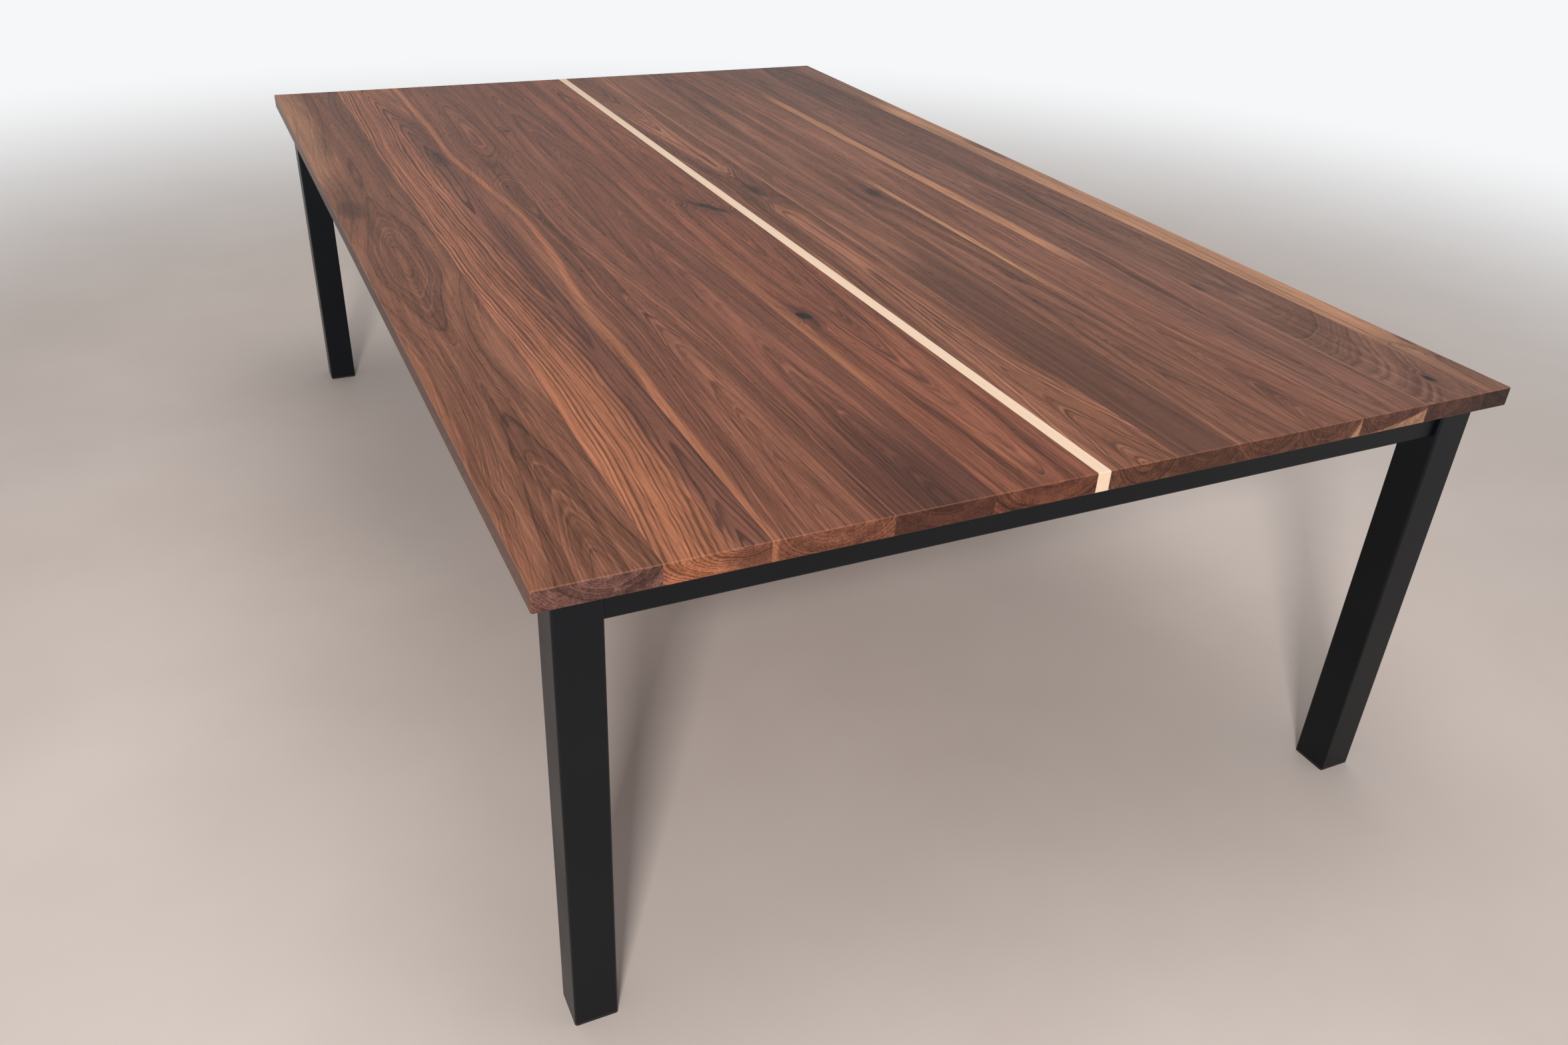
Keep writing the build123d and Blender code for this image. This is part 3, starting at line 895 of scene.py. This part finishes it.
# %% Finish the floor
fade_from, fade_to = 2.0, 5.6
screed = Finish("pale_floor")
wear = screed.noise(even(2.2), seed=9, detail=4.0)
screed.set(Base_Color=screed.two_tone(wear, (216, 201, 192), (224, 210, 201)),
           Roughness=screed.spread(wear, 0.55, 0.65))
rays = screed.node("ShaderNodeLightPath").outputs
seen = screed.math("MAXIMUM", rays["Is Camera Ray"], rays["Is Glossy Ray"])
seen = screed.math("MAXIMUM", seen, rays["Is Transmission Ray"])
reach = screed.node("ShaderNodeVectorMath", screed.place, operation="LENGTH").outputs["Value"]
glow = screed.node("ShaderNodeEmission", backdrop, 1.0)
fading = screed.node("ShaderNodeMixShader", screed.times(seen, screed.fade(reach, fade_from, fade_to)),
                     screed.shader.outputs[0], glow.outputs[0])
screed.feed(screed.tree.nodes["Material Output"].inputs["Surface"], fading.outputs[0])
floor_mesh.materials.append(screed.material)
print("the floor fades into the backdrop from", fade_from, "to", fade_to, "m")

# %% [markdown]
# ## The lamps
# The light is that of a quiet studio. One soft box stands in front on the left, which is where the
# light comes from in the photograph, and a larger one hangs overhead. A large lamp gives soft shadows,
# so the front one is kept small enough for the legs to throw a shadow that can be seen.

# %% Hang the lamps
def soft_box(name, place, target, width, power):
    """A square lamp that faces a target."""
    lamp_data = bpy.data.lights.new(name, "AREA")
    lamp_data.size = width
    lamp_data.energy = power
    lamp = bpy.data.objects.new(name, lamp_data)
    facing = (Vector(target) - Vector(place)).to_track_quat("-Z", "Y")
    lamp.matrix_world = Matrix.Translation(place) @ facing.to_matrix().to_4x4()
    bpy.context.scene.collection.objects.link(lamp)
    print(name, "of", power, "W at", place)


soft_box("front_left_lamp", place=(-2.3, -4.4, 3.0), target=(0.0, 0.0, 0.6), width=0.6, power=150.0)
soft_box("overhead_lamp", place=(0.2, -0.1, 4.2), target=(0.0, 0.0, 0.7), width=3.0, power=66.0)

# %% [markdown]
# ## The surround
# A pale surround fills the shadows. It has the backdrop's colour at eye level and turns grey higher
# up, like a room with a dark ceiling, because a bright ceiling would lay a white haze on the oiled
# boards. The bench that made the materials makes this graph as well.

# %% Light the surround
eye_level, overhead = 0.16, 0.45
ceiling = (0.24, 0.245, 0.25, 1.0)
world = bpy.data.worlds.new("studio")
world.use_nodes = True
surround = Bench(world.node_tree)
direction = surround.node("ShaderNodeTexCoord").outputs["Generated"]
height = surround.node("ShaderNodeSeparateXYZ", direction).outputs["Z"]
walls = surround.ramp(height, (eye_level, backdrop), (overhead, ceiling))
surround.feed(surround.tree.nodes["Background"].inputs["Color"], walls)
bpy.context.scene.world = world
bpy.context.scene.view_settings.view_transform = "Standard"
print("the surround is", backdrop[0], "at eye level and", ceiling[0], "overhead")

# %% [markdown]
# ## Sizes
# A finish must not change how large the table is.
